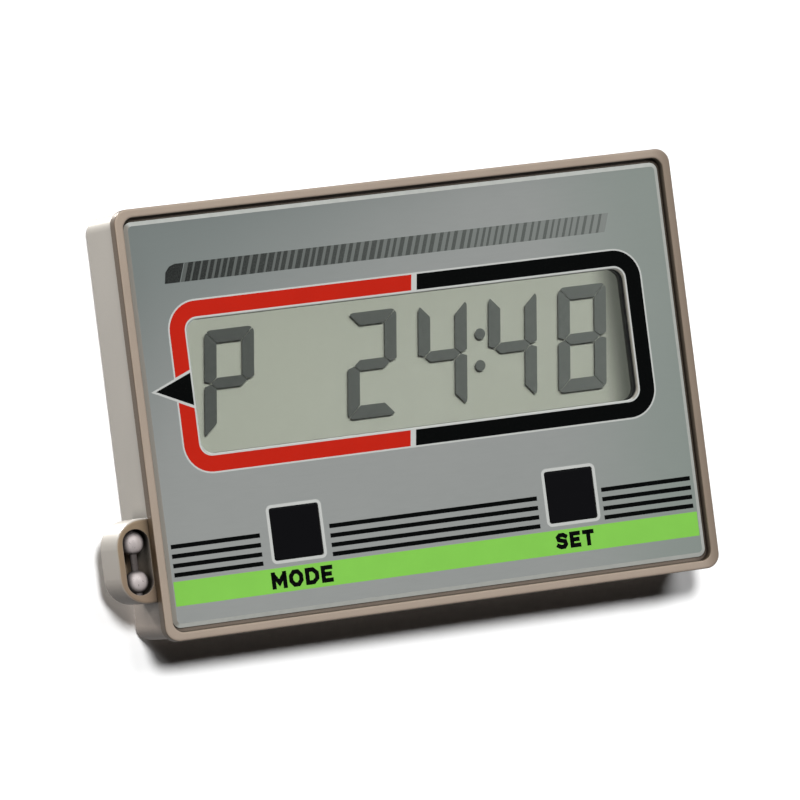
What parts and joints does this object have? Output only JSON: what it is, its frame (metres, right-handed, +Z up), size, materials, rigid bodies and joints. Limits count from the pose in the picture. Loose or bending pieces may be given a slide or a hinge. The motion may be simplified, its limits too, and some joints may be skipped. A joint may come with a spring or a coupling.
{
  "type": "taxi meter",
  "caption": "Flat pocket fare meter with a wide liquid crystal display in a recessed window, square push buttons, a coin-slot battery cover and a cord lug on one side.",
  "frame": {"origin": "middle of the flat back of the case", "axes": "+Y out of the back, so the display faces -Y; +X to the right of the display; +Z up"},
  "size_m": [0.0762, 0.0125, 0.0516],
  "materials": {
    "bezel": "satin bronze lacquer on zinc",
    "case": "satin champagne lacquer on zinc",
    "plate": "fine matt silver with polished bevel",
    "window": "clear acrylic",
    "black_plastic": "fine moulded texture",
    "button": "smooth moulded",
    "polariser": "satin film",
    "glass": "clear float glass",
    "reflector": "greenish grey pearl film",
    "elastomer": "soft striped elastomer",
    "board": "green solder mask",
    "epoxy": "poured black epoxy",
    "tin": "bright tin plate",
    "ceramic_body": "fired ceramic",
    "resistor_body": "coated chip",
    "spring_steel": "plain spring steel",
    "nickel": "nickel plate",
    "brass": "rolled brass",
    "white_ceramic": "silvered ceramic",
    "screw": "plated steel",
    "pin_chrome": "polished nickel chrome"
  },
  "bodies": {
    "case": {"rear_case": "case", "front_bezel": "bezel", "face_plate": "plate", "display_window": "window", "lcd_holder": "black_plastic", "lcd_front_polariser": "polariser", "lcd_front_glass": "glass", "lcd_rear_glass": "glass", "lcd_reflector": "reflector", "zebra_strips": "elastomer", "mode_switch_body": "black_plastic", "set_switch_body": "black_plastic", "mode_switch_dome": "spring_steel", "set_switch_dome": "spring_steel", "main_board": "board", "clock_chip": "epoxy", "quartz_crystal": "tin", "ceramic_capacitors": "ceramic_body", "chip_resistors": "resistor_body", "battery_cell": "nickel", "battery_holder": "black_plastic", "battery_contact_neg": "nickel", "battery_contact_pos": "nickel", "buzzer_disc": "brass", "buzzer_ceramic": "white_ceramic", "buzzer_springs": "spring_steel", "case_screws": "screw", "board_screws": "screw", "cord_pin": "pin_chrome"},
    "mode_button": {"mode_button": "button", "mode_switch_plunger": "button"},
    "set_button": {"set_button": "button", "set_switch_plunger": "button"},
    "battery_cover": {"battery_cover": "case"}
  },
  "joints": [
    {"name": "mode_press", "type": "slide", "parent": "case", "child": "mode_button", "axis": [0, 1, 0], "range_m": [0, 0.0003], "deforming": ["mode_switch_dome"]},
    {"name": "set_press", "type": "slide", "parent": "case", "child": "set_button", "axis": [0, 1, 0], "range_m": [0, 0.0003], "deforming": ["set_switch_dome"]},
    {"name": "cover_turn", "type": "hinge", "parent": "case", "child": "battery_cover", "pos_m": [-0.0155, 0, -0.002], "axis": [0, 1, 0], "range_deg": [0, 60]}
  ]
}
